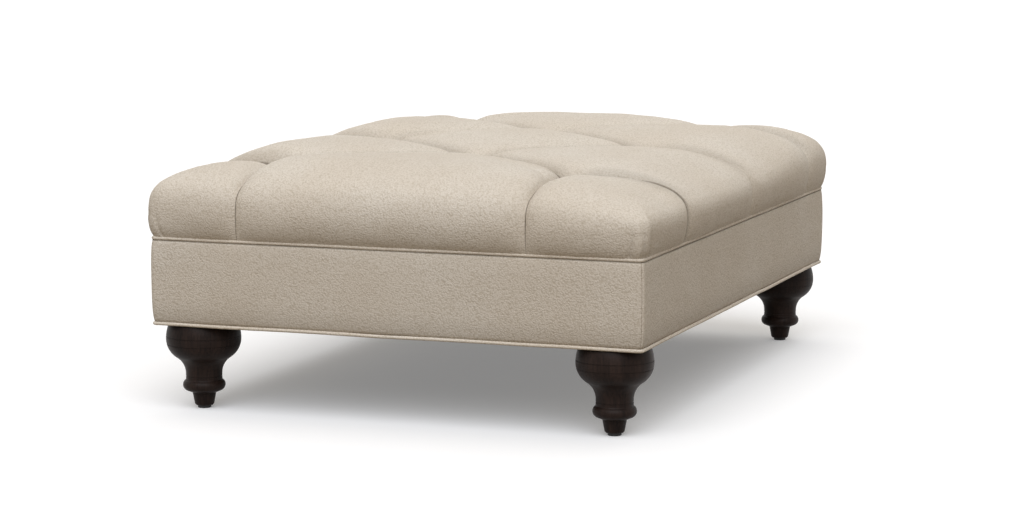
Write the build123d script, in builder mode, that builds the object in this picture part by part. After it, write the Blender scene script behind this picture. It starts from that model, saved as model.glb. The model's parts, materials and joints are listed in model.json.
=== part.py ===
"""A rectangular tufted ottoman: a diamond tufted leather top on a padded box base, on four turned legs.

The frame is millimetres, +Z up, with the origin on the floor under the centre. The front side faces -Y and
is the short one. The long sides face -X and +X. Everything is built at its real size.
"""

from build123d import *
import math
import os

os.makedirs("parts", exist_ok=True)

# Overall sizes
base_width = 915.0  # across the front, over the welts
base_length = 1235.0  # front to back, over the welts
underside_height = 158.5  # floor to the underside of the rails
band_height = 152.5  # underside of the rails to the seam of the upper welt
cushion_rise = 154.0  # seam of the upper welt to the tops of the tufted humps

# Covers
leather_thickness = 1.5
welt_diameter = 6.0
flange_width = 16.0  # the sewn edge of a welt, from its cord inwards
flange_thickness = 0.8
corner_radius = 10.0  # plan radius at the corners of the base
band_padding_thickness = 6.0
band_top_inset = 1.6  # from the outside of the welt in to the band's top edge
band_foot_inset = 3.4
band_bulge = 5.4  # how far its middle stands out past its foot
panel_gap = 0.3  # between the sewn ends of two band panels
layer_gap = 0.2  # clearance between two layers that lie on each other
dust_cloth_thickness = 0.6

# Timber frame
rail_thickness = 25.0
deck_thickness = 12.0
block_reach = 105.0  # corner block, along each rail
block_height = 45.0
block_nose = 40.0  # what is left of its ends, across the grain
brace_thickness = 25.0
brace_height = 70.0
brace_clearance = 20.0  # between a brace and the toggles of the tufts beside it

# Tufted cushion
tuft_column_spacing = 538.0
tuft_row_spacing = 427.0
tufts_across = -19.0  # from the middle of the top to the middle of the tufts
tufts_along = 45.0
side_bulge = 9.0  # how far the cushion stands out past its seam
seam_inset = 1.6  # from the outside of the welt in to the cushion's seam
crown_reach = 68.0  # from a side in to the foot of the crown
cushion_corner_radius = 40.0  # plan radius of its upright corners, where they bulge most
shoulder_reach = 150.0  # from a pleat in to the top of a hump
shoulder_crossing = 1.5  # how far above the crown a shoulder's arc ends, so that it meets it at an angle
pleat_gap = 2.0
pleat_depth = 4.0  # how deep the pleats cut into the sides
pleat_drop = 42.0  # from the tops of the humps down to the floor of the pleats
pleat_reach = 82.0  # from a side in to where a pleat's floor runs level
tuft_drop = 78.0  # from the tops of the humps down to the seat of a button
tuft_well_diameter = 29.0
tuft_mouth_diameter = 96.0
fibre_thickness = 12.0

# Buttons and their twine
button_diameter = 25.0
button_dome = 6.0
button_edge = 3.0
twine_diameter = 2.4
twine_clearance = 0.3
toggle_diameter = 22.0
toggle_thickness = 4.0
knot_diameter = 6.0

# Turned leg, with diameters from the floor up
leg_inset_across = 70.5  # from a long side of the base in to the leg's axis
leg_inset_along = 67.0  # from the front or back in to it
toe_diameter = 34.4
ankle_diameter = 42.6
bead_diameter = 76.2
neck_diameter = 65.2
bulb_diameter = 134.6
leg_top_diameter = 120.0
toe_edge = 2.0
groove_width = 2.0
groove_depth = 0.9

# Heights of the turning, as shares of the underside's height
ankle_share = 0.176
bead_foot_share = 0.205
bead_share = 0.260
bead_top_share = 0.312
neck_foot_share = 0.338
neck_top_share = 0.395
cove_share = 0.586
bulb_share = 0.796
neck_groove_share = 0.366
low_groove_share = 0.738
high_groove_share = 0.826

# Leg hardware
glide_diameter = 24.0
glide_height = 5.0
glide_bevel = 0.8
nail_diameter = 3.0
nail_length = 22.0
bolt_diameter = 10.0
bolt_in_leg = 60.0
bolt_above_block = 8.0
bolt_clearance = 0.2
nut_barrel_diameter = 13.0
nut_barrel_length = 16.0
nut_plate_diameter = 30.0
nut_plate_thickness = 2.0

# Wood screws
screw_diameter = 4.5
screw_head_diameter = 9.0
screw_head_height = 3.0
screw_clearance = 0.15
rail_screw_length = 70.0
block_screw_length = 60.0
brace_screw_length = 65.0
deck_screw_length = 40.0
deck_screws_across = 4
deck_screws_along = 5
rail_screw_shares = (0.45, 0.65, 0.85)
block_screw_shares = (0.3, 0.7)
brace_screw_shares = (0.3, 0.7)

# Staples of the dust cloth
staple_width = 10.0
staple_wire = 1.0
staple_leg = 8.0
staples_across = 7
staples_along = 10

overrun = 4.0  # how far cutting shapes run past what they cut

# Places that follow from the sizes above
half_width = base_width / 2
half_length = base_length / 2
welt_radius = welt_diameter / 2
seam_height = underside_height + band_height
cushion_top = seam_height + cushion_rise
deck_top = seam_height - flange_thickness / 2
deck_bottom = deck_top - deck_thickness
rail_height = deck_bottom - underside_height
low_welt_height = underside_height - flange_thickness / 2
band_foot = low_welt_height + welt_radius + layer_gap
band_head = seam_height - welt_radius - layer_gap
leather_inset = max(band_foot_inset, band_top_inset) + leather_thickness
frame_inset = leather_inset + band_padding_thickness + 2 * layer_gap
frame_x = half_width - frame_inset
frame_y = half_length - frame_inset
inner_x = frame_x - rail_thickness
inner_y = frame_y - rail_thickness
rail_middle_x = frame_x - rail_thickness / 2
rail_middle_y = frame_y - rail_thickness / 2
block_top = underside_height + block_height
flange_inset = welt_radius + flange_width
leg_top = underside_height - max(flange_thickness, dust_cloth_thickness)
cushion_bottom = seam_height + welt_radius + layer_gap
tuft_seat = cushion_top - tuft_drop
toggle_bottom = deck_bottom - toggle_thickness
brace_reach = tuft_row_spacing / 2 - toggle_diameter / 2 - brace_thickness / 2 - brace_clearance
brace_places = {"front": tufts_along - brace_reach, "back": tufts_along + brace_reach}

corners = {
    "front_left": (-1, -1),
    "front_right": (1, -1),
    "back_left": (-1, 1),
    "back_right": (1, 1),
}
legs = {
    corner: (side * (half_width - leg_inset_across), end * (half_length - leg_inset_along))
    for corner, (side, end) in corners.items()
}
tuft_steps = {
    "front_left": (-1, -2),
    "front_right": (1, -2),
    "front_middle": (0, -1),
    "middle_left": (-1, 0),
    "middle_right": (1, 0),
    "back_middle": (0, 1),
    "back_left": (-1, 2),
    "back_right": (1, 2),
}
tufts = {
    name: (tufts_across + side * tuft_column_spacing / 2, tufts_along + step * tuft_row_spacing / 2)
    for name, (side, step) in tuft_steps.items()
}


def save(part, name):
    """Labels a finished piece and writes it."""
    part.label = name
    export_step(part, f"parts/{name}.step")


def upright_plane(x, y):
    """A plane whose own x runs along X and whose own y runs up, through that place on the floor."""
    return Plane(origin=(x, y, 0), x_dir=(1, 0, 0), z_dir=(0, -1, 0))


def upright_axis(x, y):
    return Axis((x, y, 0), (0, 0, 1))


def rods(places, diameter, low, high):
    """Upright round rods between two heights, one at each place."""
    with BuildPart() as body:
        with BuildSketch(Plane.XY.offset(low)):
            with Locations(*places):
                Circle(diameter / 2)
        extrude(amount=high - low)
    return body.part


def slab(inset, low, high):
    """A flat slab with the base's rounded corners, that far in from the outside of the welts."""
    with BuildPart() as body:
        with BuildSketch(Plane.XY.offset(low)):
            RectangleRounded(
                base_width - 2 * inset, base_length - 2 * inset, max(corner_radius - inset, panel_gap)
            )
        extrude(amount=high - low)
    return body.part


# Turned legs


def arc_reach(height, start, end):
    """The radius at a height on an arc that is upright at its start. Both ends are (radius, height)."""
    run, rise = start[0] - end[0], start[1] - end[1]
    arc_radius = (run * run + rise * rise) / (2 * run)
    return start[0] - arc_radius + math.sqrt(arc_radius**2 - (height - start[1]) ** 2)


def make_leg(corner):
    """One solid turning: toe, ankle, bead, neck, cove and bulb, with three scribed lines."""
    x, y = legs[corner]
    toe, ankle, bead = toe_diameter / 2, ankle_diameter / 2, bead_diameter / 2
    neck, bulb, top = neck_diameter / 2, bulb_diameter / 2, leg_top_diameter / 2
    bead_foot = ((ankle + 2 * bead) / 3, bead_foot_share * underside_height)
    bead_top = ((neck + bead) / 2, bead_top_share * underside_height)
    cove = ((neck + bulb) / 2, cove_share * underside_height)
    widest = (bulb, bulb_share * underside_height)
    low_groove = low_groove_share * underside_height
    high_groove = high_groove_share * underside_height
    grooves = [
        (neck, neck_groove_share * underside_height),
        (arc_reach(low_groove, widest, cove), low_groove),
        (arc_reach(high_groove, widest, (top, leg_top)), high_groove),
    ]
    with BuildPart() as leg:
        with BuildSketch(upright_plane(x, y)):
            with BuildLine():
                foot = Line((0, glide_height), (toe - toe_edge, glide_height))
                edge = Line(foot @ 1, (toe, glide_height + toe_edge))
                taper = Line(edge @ 1, (ankle, ankle_share * underside_height))
                under = Line(taper @ 1, bead_foot)
                ring = ThreePointArc(under @ 1, (bead, bead_share * underside_height), bead_top)
                rest = TangentArc((neck, neck_foot_share * underside_height), bead_top, tangent=(0, -1))
                shaft = Line(rest @ 0, (neck, neck_top_share * underside_height))
                TangentArc(shaft @ 1, cove, tangent=(0, 1))
                TangentArc(widest, cove, tangent=(0, -1))
                TangentArc(widest, (top, leg_top), tangent=(0, 1))
                seat = Line((top, leg_top), (0, leg_top))
                Line(seat @ 1, foot @ 0)
            make_face()
        revolve(axis=upright_axis(x, y))
        with BuildSketch(upright_plane(x, y)):
            with Locations(*grooves):
                Rectangle(2 * groove_depth, groove_width)
        revolve(axis=upright_axis(x, y), mode=Mode.SUBTRACT)
        bolt_hole = bolt_diameter + 2 * bolt_clearance
        bolt_foot = leg_top - bolt_in_leg - layer_gap
        add(rods([(x, y)], bolt_hole, bolt_foot, leg_top + overrun), mode=Mode.SUBTRACT)
        nail_hole = nail_diameter + 2 * bolt_clearance
        nail_top = glide_height + nail_length + layer_gap
        add(rods([(x, y)], nail_hole, glide_height - overrun, nail_top), mode=Mode.SUBTRACT)
    save(leg.part, f"leg_{corner}")


def make_glide(corner):
    """The nylon glide under a leg, moulded on its nail."""
    x, y = legs[corner]
    flange, nail = glide_diameter / 2, nail_diameter / 2
    with BuildPart() as glide:
        with BuildSketch(upright_plane(x, y)):
            with BuildLine():
                Polyline(
                    (0, 0),
                    (flange - glide_bevel, 0),
                    (flange, glide_bevel),
                    (flange, glide_height),
                    (nail, glide_height),
                    (nail, glide_height + nail_length - nail_diameter),
                    (0, glide_height + nail_length),
                    close=True,
                )
            make_face()
        revolve(axis=upright_axis(x, y))
    save(glide.part, f"glide_{corner}")


def make_leg_hardware():
    """Four hanger bolts, half in the leg and half in the corner block, and the tee nuts that take them."""
    with BuildPart() as bolts:
        add(rods(legs.values(), bolt_diameter, leg_top - bolt_in_leg, block_top + bolt_above_block))
        chamfer(bolts.edges().filter_by(GeomType.CIRCLE), bolt_diameter / 8)
    save(bolts.part, "hanger_bolts")
    plate_top = block_top + nut_plate_thickness
    bore = bolt_diameter + 2 * bolt_clearance
    with BuildPart() as nuts:
        add(rods(legs.values(), nut_plate_diameter, block_top, plate_top))
        add(rods(legs.values(), nut_barrel_diameter, block_top - nut_barrel_length, block_top))
        add(rods(legs.values(), bore, block_top - block_height, plate_top + overrun), mode=Mode.SUBTRACT)
    save(nuts.part, "tee_nuts")


# Screws. Each place is where the middle of a head's face is, with the direction that the screw points in.

rail_screws = [
    ((side * rail_middle_x, end * frame_y, underside_height + share * rail_height), (0, -end, 0))
    for side, end in corners.values()
    for share in rail_screw_shares
]
block_screws = []
for side, end in corners.values():
    for share in block_screw_shares:
        height = underside_height + share * block_height
        along = (1 - share / 2) * block_reach
        block_screws.append(((side * frame_x, end * (inner_y - along), height), (-side, 0, 0)))
        block_screws.append(((side * (inner_x - along), end * frame_y, height), (0, -end, 0)))
brace_screws = [
    ((side * frame_x, place, deck_bottom - share * brace_height), (-side, 0, 0))
    for side in (-1, 1)
    for place in brace_places.values()
    for share in brace_screw_shares
]
deck_screws = []
for step in range(deck_screws_along):
    place = (step + 0.5 - deck_screws_along / 2) * base_length / deck_screws_along
    deck_screws += [((side * rail_middle_x, place, deck_top), (0, 0, -1)) for side in (-1, 1)]
for step in range(deck_screws_across):
    place = (step + 0.5 - deck_screws_across / 2) * base_width / deck_screws_across
    deck_screws += [((place, end * rail_middle_y, deck_top), (0, 0, -1)) for end in (-1, 1)]


def screws(places, length, clearance=0):
    """The countersunk screws of one kind, or with a clearance the holes that they leave."""
    shank, head = screw_diameter / 2 + clearance, screw_head_diameter / 2 + clearance
    with BuildPart() as body:
        for place, direction in places:
            outward = -Vector(*direction)
            across = Vector(0, 0, 1) if direction[2] == 0 else Vector(1, 0, 0)
            with BuildSketch(Plane(origin=place, x_dir=across, z_dir=across.cross(outward))):
                with BuildLine():
                    Polyline(
                        (0, 0),
                        (head, 0),
                        (shank, -screw_head_height),
                        (shank, -length + screw_diameter),
                        (0, -length - clearance),
                        close=True,
                    )
                make_face()
            revolve(axis=Axis(place, outward))
    return body.part


# Timber frame


def board(name, x_range, y_range, z_range, holes):
    """A plain board, less the holes of the screws that pass through it."""
    with BuildPart() as plank:
        with BuildSketch(Plane.XY.offset(z_range[0])):
            with Locations((sum(x_range) / 2, sum(y_range) / 2)):
                Rectangle(x_range[1] - x_range[0], y_range[1] - y_range[0])
        extrude(amount=z_range[1] - z_range[0])
        for hole in holes:
            add(hole, mode=Mode.SUBTRACT)
    save(plank.part, name)


def make_frame():
    """The rails with the deck on them, the braces under it, the corner blocks, and all their screws."""
    save(screws(rail_screws, rail_screw_length), "rail_screws")
    save(screws(block_screws, block_screw_length), "block_screws")
    save(screws(brace_screws, brace_screw_length), "brace_screws")
    save(screws(deck_screws, deck_screw_length), "deck_screws")
    rail_holes = screws(rail_screws, rail_screw_length, screw_clearance)
    block_holes = screws(block_screws, block_screw_length, screw_clearance)
    brace_holes = screws(brace_screws, brace_screw_length, screw_clearance)
    deck_holes = screws(deck_screws, deck_screw_length, screw_clearance)
    staple_holes = staples(screw_clearance)
    holes = [rail_holes, block_holes, deck_holes, staple_holes]
    heights = (underside_height, deck_bottom)
    for name, end in (("front", -1), ("back", 1)):
        outline = sorted((end * inner_y, end * frame_y))
        board(f"{name}_rail", (-frame_x, frame_x), outline, heights, holes)
        outline = (brace_places[name] - brace_thickness / 2, brace_places[name] + brace_thickness / 2)
        brace_heights = (deck_bottom - brace_height, deck_bottom)
        board(f"{name}_brace", (-inner_x, inner_x), outline, brace_heights, [brace_holes])
    for name, side in (("left", -1), ("right", 1)):
        outline = sorted((side * inner_x, side * frame_x))
        board(f"{name}_rail", outline, (-inner_y, inner_y), heights, holes + [brace_holes])
    for corner in corners:
        make_block(corner, block_holes)
    with BuildPart() as deck:
        with BuildSketch(Plane.XY.offset(deck_bottom)):
            Rectangle(2 * frame_x, 2 * frame_y)
        extrude(amount=deck_thickness)
        add(deck_holes, mode=Mode.SUBTRACT)
        add(twine_holes(deck_bottom - overrun, deck_top + overrun), mode=Mode.SUBTRACT)
    save(deck.part, "deck")


def make_block(corner, screw_holes):
    """A corner block: it fills the corner of the rails, and its nose is cut off at a slant."""
    side, end = corners[corner]
    x, y = side * inner_x, end * inner_y
    bolt_hole = bolt_diameter + 2 * bolt_clearance
    barrel_hole = nut_barrel_diameter + 2 * bolt_clearance
    barrel_bottom = block_top - nut_barrel_length - layer_gap
    with BuildPart() as block:
        with BuildSketch(Plane.XY.offset(underside_height)):
            with BuildLine():
                Polyline(
                    (x, y),
                    (x - side * block_reach, y),
                    (x - side * block_reach, y - end * block_nose),
                    (x - side * block_nose, y - end * block_reach),
                    (x, y - end * block_reach),
                    close=True,
                )
            make_face()
        extrude(amount=block_height)
        add(rods([legs[corner]], bolt_hole, leg_top, block_top + overrun), mode=Mode.SUBTRACT)
        add(rods([legs[corner]], barrel_hole, barrel_bottom, block_top + overrun), mode=Mode.SUBTRACT)
        add(screw_holes, mode=Mode.SUBTRACT)
    save(block.part, f"corner_block_{corner}")


# Band: a padded leather strip on each side of the base, between two welts

# The band's outline from its foot up, in shares of its height and of its bulge
band_outline_shares = ((0.0, 0.0), (0.2, 0.6), (0.46, 1.0), (0.8, 0.9), (1.0, 0.0))


def make_welt(name, height):
    """A cord in its leather casing, all the way round, with the sewn edge that lies on the timber."""
    x, y = half_width - welt_radius, half_length - welt_radius
    with BuildPart() as welt:
        with BuildLine(Plane.XY.offset(height)) as path:
            FilletPolyline(
                (-x, -y), (x, -y), (x, y), (-x, y), radius=corner_radius - welt_radius, close=True
            )
        with BuildSketch(Plane(origin=path.line @ 0, z_dir=path.line % 0)):
            Circle(welt_radius)
        sweep(path=path.line)
        add(slab(welt_radius, height - flange_thickness / 2, height + flange_thickness / 2))
        inner_edge = slab(flange_inset, height - welt_diameter, height + welt_diameter)
        add(inner_edge, mode=Mode.SUBTRACT)
    save(welt.part, name)


def band_form(depth):
    """The solid inside the band's outer surface, or that deep below it."""
    with BuildPart() as form:
        for rise, bulge in band_outline_shares:
            edge = band_foot_inset + rise * (band_top_inset - band_foot_inset)
            inset = edge - bulge * band_bulge + depth
            with BuildSketch(Plane.XY.offset(band_foot + rise * (band_head - band_foot))):
                RectangleRounded(base_width - 2 * inset, base_length - 2 * inset, corner_radius - inset)
        loft()
    return form.part


def make_band():
    """Four leather panels, sewn together at the corners, over one strip of padding round the rails."""
    outside = band_form(0)
    inside = band_form(leather_thickness)
    for name, x, y in (("front", 0, -1), ("back", 0, 1), ("left", -1, 0), ("right", 1, 0)):
        with BuildPart() as panel:
            add(outside)
            add(inside, mode=Mode.SUBTRACT)
            add(corner_wedge(x, y), mode=Mode.INTERSECT)
        save(panel.part, f"band_panel_{name}")
    with BuildPart() as padding:
        add(band_form(leather_thickness + layer_gap))
        with BuildSketch(Plane.XY.offset(underside_height)):
            Rectangle(2 * (frame_x + layer_gap), 2 * (frame_y + layer_gap))
        extrude(amount=band_height, mode=Mode.SUBTRACT)
    save(padding.part, "band_padding")


def corner_wedge(x, y):
    """The part of the space on that side of the base, up to planes through its corners at 45 degrees."""
    reach = half_width + band_bulge
    with BuildPart() as wedge:
        with BuildSketch(Plane.XY.offset(band_foot - overrun)):
            with BuildLine():
                if x:
                    tip = panel_gap
                    Polyline(
                        (x * tip, half_length - half_width),
                        (x * reach, half_length + band_bulge - tip),
                        (x * reach, -half_length - band_bulge + tip),
                        (x * tip, half_width - half_length),
                        close=True,
                    )
                else:
                    Polyline(
                        (0, y * (half_length - half_width + panel_gap)),
                        (reach, y * (half_length + band_bulge + panel_gap)),
                        (-reach, y * (half_length + band_bulge + panel_gap)),
                        close=True,
                    )
            make_face()
        extrude(amount=band_head - band_foot + 2 * overrun)
    return wedge.part


# Dust cloth under the base


def staple_places():
    """Where the staples are, under the middle of the rails, with the direction that each lies in."""
    places = []
    free_x = half_width - leg_inset_across - leg_top_diameter / 2 - staple_width
    free_y = half_length - leg_inset_along - leg_top_diameter / 2 - staple_width
    for step in range(staples_along):
        y = free_y * (2 * step / (staples_along - 1) - 1)
        places += [(side * rail_middle_x, y, (0, 1, 0)) for side in (-1, 1)]
    for step in range(staples_across):
        x = free_x * (2 * step / (staples_across - 1) - 1)
        places += [(x, end * rail_middle_y, (1, 0, 0)) for end in (-1, 1)]
    return places


def staples(clearance=0):
    """The staples of the dust cloth, or with a clearance the holes that they leave."""
    under = underside_height - dust_cloth_thickness
    top = underside_height + staple_leg + clearance
    across, wire = staple_width + 2 * clearance, staple_wire + 2 * clearance
    with BuildPart() as body:
        for x, y, direction in staple_places():
            with BuildSketch(Plane(origin=(x, y, under), x_dir=direction, z_dir=(0, 0, 1))):
                Rectangle(across, wire)
            extrude(amount=-staple_wire)
            with BuildSketch(Plane(origin=(x, y, under), x_dir=direction, z_dir=(0, 0, 1))):
                with Locations(*[(side * (staple_width - staple_wire) / 2, 0) for side in (-1, 1)]):
                    Rectangle(wire, wire)
            extrude(amount=top - under)
    return body.part


def make_dust_cloth():
    """The black cloth that closes the base from below, and its staples."""
    with BuildPart() as cloth:
        add(slab(flange_inset + layer_gap, underside_height - dust_cloth_thickness, underside_height))
        add(staples(screw_clearance), mode=Mode.SUBTRACT)
        bolt_hole = bolt_diameter + 2 * bolt_clearance
        low = underside_height - dust_cloth_thickness - overrun
        add(rods(legs.values(), bolt_hole, low, underside_height + overrun), mode=Mode.SUBTRACT)
    save(cloth.part, "dust_cloth")
    save(staples(), "dust_cloth_staples")


# Tufted cushion. A crowned body is creased along the pleats, which divide its top into humps.

cross_pleats = [
    (tufts[start], tufts[end])
    for start, end in (
        ("front_left", "front_middle"),
        ("front_right", "front_middle"),
        ("middle_left", "front_middle"),
        ("middle_right", "front_middle"),
        ("middle_left", "back_middle"),
        ("middle_right", "back_middle"),
        ("back_left", "back_middle"),
        ("back_right", "back_middle"),
    )
]
side_pleats = [
    (tufts[name], (side * half_width, tufts[name][1])) for name, (side, step) in tuft_steps.items() if side
]
end_pleats = [
    (tufts[name], (tufts[name][0], step / 2 * half_length))
    for name, (side, step) in tuft_steps.items()
    if abs(step) == 2
]

# Heights on the cushion's side, as shares of its rise
bulge_share = 0.27
roll_foot_share = 0.51
crown_foot_share = 0.854

# The floor of a pleat where it runs over the side, in shares: of the rise of the pleats' floor, of the
# side's bulge, and of the pleat's reach in from the side
pleat_side_shares = (
    (0.0, 0.0, 0.0),
    (0.45, 0.35, 0.0),
    (0.62, 0.0, 0.02),
    (0.85, 0.0, 0.30),
    (0.95, 0.0, 0.56),
    (1.0, 0.0, 1.0),
)


def cushion_profile(plane, half_span, half_run, depth):
    """The crowned outline across the cushion, drawn out along it past both its ends."""
    top = cushion_top - depth
    run = half_run + side_bulge + overrun
    foot_x = half_span - seam_inset - depth
    crown_x = foot_x - crown_reach
    bulge, roll_foot, crown_foot = (
        cushion_bottom + share * (top - cushion_bottom)
        for share in (bulge_share, roll_foot_share, crown_foot_share)
    )
    with BuildPart() as body:
        with BuildSketch(plane.offset(-run)):
            with BuildLine():
                seam = Line((-foot_x, cushion_bottom), (foot_x, cushion_bottom))
                right = ThreePointArc(seam @ 1, (foot_x + side_bulge, bulge), (foot_x, roll_foot))
                TangentArc(right @ 1, (crown_x, crown_foot), tangent=right % 1)
                ThreePointArc((crown_x, crown_foot), (0, top), (-crown_x, crown_foot))
                left = ThreePointArc(seam @ 0, (-foot_x - side_bulge, bulge), (-foot_x, roll_foot))
                TangentArc(left @ 1, (-crown_x, crown_foot), tangent=left % 1)
            make_face()
        extrude(amount=2 * run)
    return body.part


def cushion_body(depth):
    """The crowned body before it is creased, or the solid that deep below its surface."""
    across = Plane(origin=(0, 0, 0), x_dir=(1, 0, 0), z_dir=(0, -1, 0))
    along = Plane(origin=(0, 0, 0), x_dir=(0, 1, 0), z_dir=(1, 0, 0))
    with BuildPart() as body:
        add(cushion_profile(across, half_width, half_length, depth))
        add(cushion_profile(along, half_length, half_width, depth), mode=Mode.INTERSECT)
        with BuildSketch(Plane.XY.offset(cushion_bottom - overrun), mode=Mode.PRIVATE) as outline:
            reach = side_bulge - seam_inset - depth
            RectangleRounded(base_width + 2 * reach, base_length + 2 * reach, cushion_corner_radius - depth)
        extrude(outline.sketch, amount=cushion_rise + overrun, mode=Mode.INTERSECT)
    return body.part


def pleat_plane(start, end, place):
    """The upright plane square to a pleat at that place, whose own y runs up."""
    along = Vector(end[0] - start[0], end[1] - start[1]).normalized()
    return Plane(origin=(*place, 0), x_dir=(-along.Y, along.X, 0), z_dir=(along.X, along.Y, 0))


def pleat_channel(start, end, depth):
    """What one pleat takes out of the top: two rounded shoulders that meet in a crease."""
    length = math.dist(start, end)
    floor, top = cushion_top - pleat_drop - depth, cushion_top + shoulder_crossing - depth
    lid = cushion_top + shoulder_crossing + overrun
    reach = shoulder_reach + depth
    with BuildPart() as channel:
        with BuildSketch(pleat_plane(start, end, start)):
            with BuildLine():
                TangentArc((-reach, top), (0, floor), tangent=(1, 0))
                TangentArc((reach, top), (0, floor), tangent=(-1, 0))
                Polyline((-reach, top), (-reach, lid), (reach, lid), (reach, top))
            make_face()
        extrude(amount=length)
    return channel.part


def pleat_slit(start, end, depth):
    """The narrow crease of an edge pleat where it runs over the side, down to the seam."""
    floor = cushion_top - pleat_drop - depth
    bottom = cushion_bottom
    outside = side_bulge + overrun
    along = Vector(end[0] - start[0], end[1] - start[1]).normalized()
    half_gap = pleat_gap / 2 + depth
    origin = Vector(*end, 0) + Vector(-along.Y, along.X, 0) * half_gap
    points = [
        (
            -(seam_inset + pleat_depth + depth) + bulge * side_bulge - reach * pleat_reach,
            bottom + rise * (floor - bottom),
        )
        for rise, bulge, reach in pleat_side_shares
    ]
    with BuildPart() as slit:
        with BuildSketch(Plane(origin=origin, x_dir=along, z_dir=(along.Y, -along.X, 0))):
            with BuildLine():
                Polyline(
                    *points,
                    (points[-1][0], cushion_top),
                    (outside, cushion_top),
                    (outside, bottom),
                    close=True,
                )
            make_face()
        extrude(amount=2 * half_gap)
    return slit.part


def tuft_wells(depth):
    """What the tufts take out of the cushion: a flared well down to the seat of each button."""
    well, mouth, seat = tuft_well_diameter / 2 + depth, tuft_mouth_diameter / 2 + depth, tuft_seat - depth
    with BuildPart() as wells:
        for x, y in tufts.values():
            with BuildSketch(upright_plane(x, y)):
                with BuildLine():
                    bottom = Line((0, seat), (well, seat))
                    flare = TangentArc(bottom @ 1, (mouth, cushion_top), tangent=(0, 1))
                    rim = Line(flare @ 1, (mouth, cushion_top + overrun))
                    top = Line(rim @ 1, (0, cushion_top + overrun))
                    Line(top @ 1, bottom @ 0)
                make_face()
            revolve(axis=upright_axis(x, y))
    return wells.part


def cushion_form(depth):
    """The solid inside the cushion's outer surface, or that deep below it."""
    with BuildPart() as form:
        add(cushion_body(depth))
        for start, end in cross_pleats + side_pleats + end_pleats:
            add(pleat_channel(start, end, depth), mode=Mode.SUBTRACT)
        for start, end in side_pleats + end_pleats:
            add(pleat_slit(start, end, depth), mode=Mode.SUBTRACT)
        add(tuft_wells(depth), mode=Mode.SUBTRACT)
    return form.part


def foam_form(depth):
    """The plain crowned block of foam, dimpled under the tufts, that deep below the pleats' floor."""
    with BuildPart() as form:
        add(cushion_body(pleat_depth + depth))
        add(slab(0, cushion_top - pleat_drop - depth, cushion_top + overrun), mode=Mode.SUBTRACT)
        add(tuft_wells(depth), mode=Mode.SUBTRACT)
    return form.part


def twine_holes(low, high):
    """The holes that the twine of the tufts passes through."""
    return rods(tufts.values(), twine_diameter + 2 * twine_clearance, low, high)


def make_cushion():
    """The leather cover with its edge turned in, the fibre that fills its humps, and the foam core."""
    turned_in = cushion_bottom + leather_thickness
    core_depth = leather_thickness + fibre_thickness
    holes = twine_holes(deck_top - overrun, cushion_top)
    with BuildPart() as filling:
        add(cushion_form(leather_thickness))
        add(slab(0, cushion_bottom - overrun, turned_in), mode=Mode.SUBTRACT)
    with BuildPart() as cover:
        add(cushion_form(0))
        add(filling.part, mode=Mode.SUBTRACT)
        add(slab(flange_inset, deck_top, turned_in + layer_gap), mode=Mode.SUBTRACT)
        add(holes, mode=Mode.SUBTRACT)
    save(cover.part, "tufted_cover")
    with BuildPart() as wrap:
        add(filling.part)
        add(foam_form(core_depth), mode=Mode.SUBTRACT)
        add(holes, mode=Mode.SUBTRACT)
    save(wrap.part, "fibre_wrap")
    with BuildPart() as core:
        add(foam_form(core_depth + layer_gap))
        add(slab(0, cushion_bottom - overrun, turned_in + layer_gap), mode=Mode.SUBTRACT)
        add(slab(flange_inset + layer_gap, deck_top, turned_in + 2 * layer_gap))
        add(holes, mode=Mode.SUBTRACT)
    save(core.part, "foam_core")


# Buttons, with the twine that pulls them down and the toggles that hold it under the deck


def make_tufts():
    for name, (x, y) in tufts.items():
        with BuildPart() as button:
            with BuildSketch(upright_plane(x, y)):
                with BuildLine():
                    base = Line((0, tuft_seat), (button_diameter / 2, tuft_seat))
                    edge = Line(base @ 1, (button_diameter / 2, tuft_seat + button_edge))
                    dome = TangentArc(
                        (0, tuft_seat + button_edge + button_dome), edge @ 1, tangent=(1, 0)
                    )
                    Line(dome @ 0, base @ 0)
                make_face()
            revolve(axis=upright_axis(x, y))
        save(button.part, f"tuft_button_{name}")
    with BuildPart() as twines:
        add(rods(tufts.values(), twine_diameter, toggle_bottom - knot_diameter / 2, tuft_seat))
        with Locations(*[(x, y, toggle_bottom - knot_diameter / 2) for x, y in tufts.values()]):
            Sphere(knot_diameter / 2)
    save(twines.part, "tuft_twines")
    with BuildPart() as toggles:
        add(rods(tufts.values(), toggle_diameter, toggle_bottom, deck_bottom))
        add(twine_holes(toggle_bottom - overrun, deck_bottom + overrun), mode=Mode.SUBTRACT)
    save(toggles.part, "tuft_toggles")


make_frame()
for corner_name in corners:
    make_leg(corner_name)
    make_glide(corner_name)
make_leg_hardware()
make_welt("lower_welt", low_welt_height)
make_welt("upper_welt", seam_height)
make_band()
make_dust_cloth()
make_tufts()
make_cushion()
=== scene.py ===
import json
import math

import bpy
import numpy as np
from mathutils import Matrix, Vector, noise


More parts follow.
